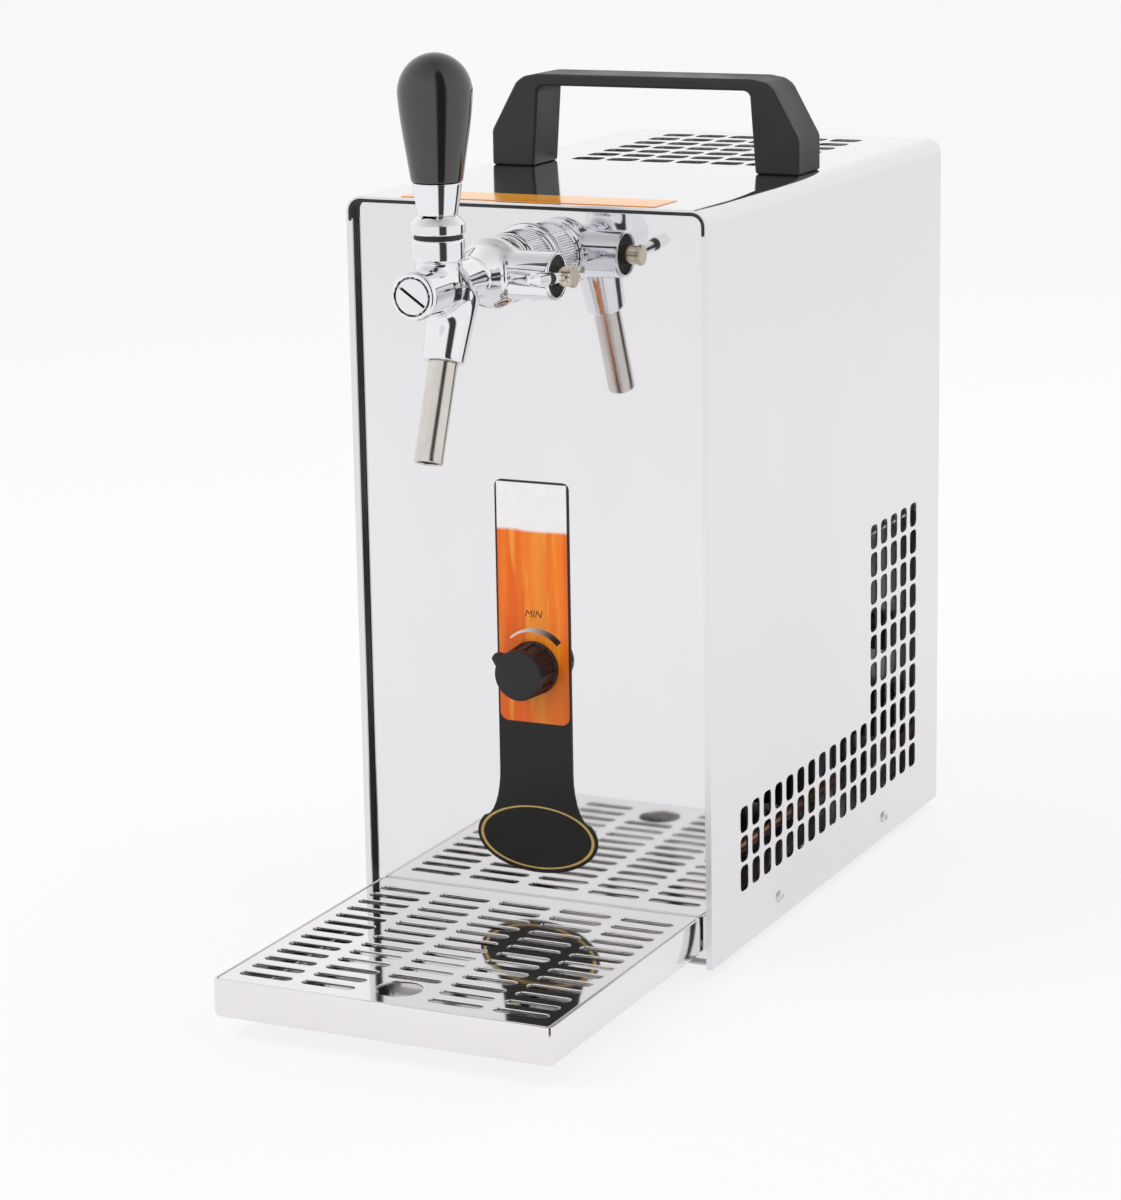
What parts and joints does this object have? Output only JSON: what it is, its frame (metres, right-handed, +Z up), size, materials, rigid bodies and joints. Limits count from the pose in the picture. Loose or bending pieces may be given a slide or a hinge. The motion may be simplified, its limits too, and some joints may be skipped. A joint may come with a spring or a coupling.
{
  "type": "countertop beer cooler tap",
  "caption": "Countertop beer cooler: steel box with carrying handle, compensator tap, thermostat knob, label plate and pull-out drip tray, with its cooling unit inside.",
  "frame": {"origin": "middle of the whole object's footprint, on the surface that the feet stand on", "axes": "+X to the right seen from the tap's side, +Y from the tap to the rear, +Z up"},
  "size_m": [0.176, 0.4676, 0.4121],
  "materials": {
    "casing_steel": "satin stainless sheet",
    "panel_steel": "mirror polished stainless sheet",
    "zinc_sheet": "zinc plated sheet",
    "gasket_rubber": "matt black",
    "foot_rubber": "matt black",
    "screw_steel": "bright",
    "handle_plastic": "black satin",
    "strip_orange": "glossy print",
    "label_print": "glossy print, beer orange, cream and black",
    "knob_plastic": "black satin",
    "shaft_steel": "turned",
    "thermostat_case": "moulded",
    "tray_steel": "polished stainless sheet",
    "grate_steel": "polished stainless sheet, punched",
    "guide_plastic": "moulded",
    "tap_chrome": "polished chrome",
    "grip_plastic": "polished black",
    "valve_brass": "turned",
    "shaft_nickel": "dull nickel over brass",
    "spout_steel": "satin stainless tube",
    "white_plastic": "moulded",
    "line_steel": "bright tube",
    "fitting_steel": "turned",
    "core_aluminium": "cast",
    "copper_tube": "drawn copper tube",
    "foam": "rigid foam",
    "compressor_paint": "black enamel",
    "fan_plastic": "black",
    "pump_plastic": "black",
    "hose_plastic": "clear hose",
    "inlet_plastic": "black",
    "rocker_plastic": "red"
  },
  "bodies": {
    "root": {"casing": "casing_steel", "rear_panel": "casing_steel", "front_panel": "panel_steel", "base_plate": "zinc_sheet", "mid_shelf": "zinc_sheet", "panel_gasket": "gasket_rubber", "bonnet_ring": "gasket_rubber", "compensator_gland": "gasket_rubber", "compressor_grommets": "gasket_rubber", "feet": "foot_rubber", "foot_screws": "screw_steel", "handle_screws": "screw_steel", "case_screws": "screw_steel", "carry_handle": "handle_plastic", "top_strip": "strip_orange", "front_label": "label_print", "thermostat_body": "thermostat_case", "tray_guides": "guide_plastic", "tap_body": "tap_chrome", "tap_plug": "tap_chrome", "tap_bonnet": "tap_chrome", "collar_nut": "tap_chrome", "shank_flange": "tap_chrome", "tap_shank": "valve_brass", "shank_nut": "valve_brass", "tap_spout": "spout_steel", "outlet_line": "line_steel", "inlet_line": "line_steel", "beer_coil": "line_steel", "hose_fittings": "fitting_steel", "cooling_core": "core_aluminium", "condenser": "core_aluminium", "evaporator_coil": "copper_tube", "suction_pipe": "copper_tube", "discharge_pipe": "copper_tube", "liquid_line": "copper_tube", "filter_drier": "copper_tube", "insulation": "foam", "compressor": "compressor_paint", "fan_frame": "fan_plastic", "air_pump": "pump_plastic", "air_hose": "hose_plastic", "power_inlet": "inlet_plastic", "switch_frame": "inlet_plastic"},
    "lever": {"lever_stem": "shaft_steel", "lever_ferrule": "tap_chrome", "lever_grip": "grip_plastic"},
    "valve": {"valve_piston": "valve_brass", "piston_seal": "gasket_rubber"},
    "compensator": {"compensator_shaft": "shaft_nickel", "compensator_lever": "tap_chrome", "lever_band": "gasket_rubber"},
    "flow_cone": {"compensator_cone": "white_plastic"},
    "thermostat": {"thermostat_knob": "knob_plastic", "thermostat_shaft": "shaft_steel"},
    "tray": {"tray_pan": "tray_steel"},
    "grate": {"tray_grate": "grate_steel"},
    "fan": {"fan_rotor": "fan_plastic"},
    "rocker": {"switch_rocker": "rocker_plastic"}
  },
  "joints": [
    {"name": "tap_lever", "type": "hinge", "parent": "root", "child": "lever", "pos_m": [0, -0.1622, 0.3339], "axis": [1, 0, 0], "range_deg": [0, 20]},
    {"name": "valve_slide", "type": "slide", "parent": "root", "child": "valve", "axis": [0, 1, 0], "range_m": [0, 0.0066]},
    {"name": "compensator_turn", "type": "hinge", "parent": "root", "child": "compensator", "pos_m": [0, -0.1142, 0.315], "axis": [1, 0, 0], "range_deg": [-45, 45]},
    {"name": "cone_slide", "type": "slide", "parent": "root", "child": "flow_cone", "axis": [0, 1, 0], "range_m": [-0.0018, 0.0018]},
    {"name": "thermostat_turn", "type": "hinge", "parent": "root", "child": "thermostat", "pos_m": [0, -0.0832, 0.1335], "axis": [0, 1, 0], "range_deg": [0, 270]},
    {"name": "tray_slide", "type": "slide", "parent": "root", "child": "tray", "axis": [0, -1, 0], "range_m": [0, 0.06]},
    {"name": "grate_lift", "type": "slide", "parent": "tray", "child": "grate", "axis": [0, 0, 1], "range_m": [0, 0.03]},
    {"name": "fan_spin", "type": "hinge", "parent": "root", "child": "fan", "pos_m": [-0.018, 0.1403, 0.0765], "axis": [0, 1, 0], "continuous": true},
    {"name": "switch_rock", "type": "hinge", "parent": "root", "child": "rocker", "pos_m": [0.058, 0.2078, 0.09], "axis": [0, 0, -1], "range_deg": [0, 16]}
  ],
  "couplings": [
    {"joint": "valve_slide", "follows": "tap_lever", "m_per_rad": 0.01852},
    {"joint": "cone_slide", "follows": "compensator_turn", "m_per_rad": 0.00216}
  ]
}
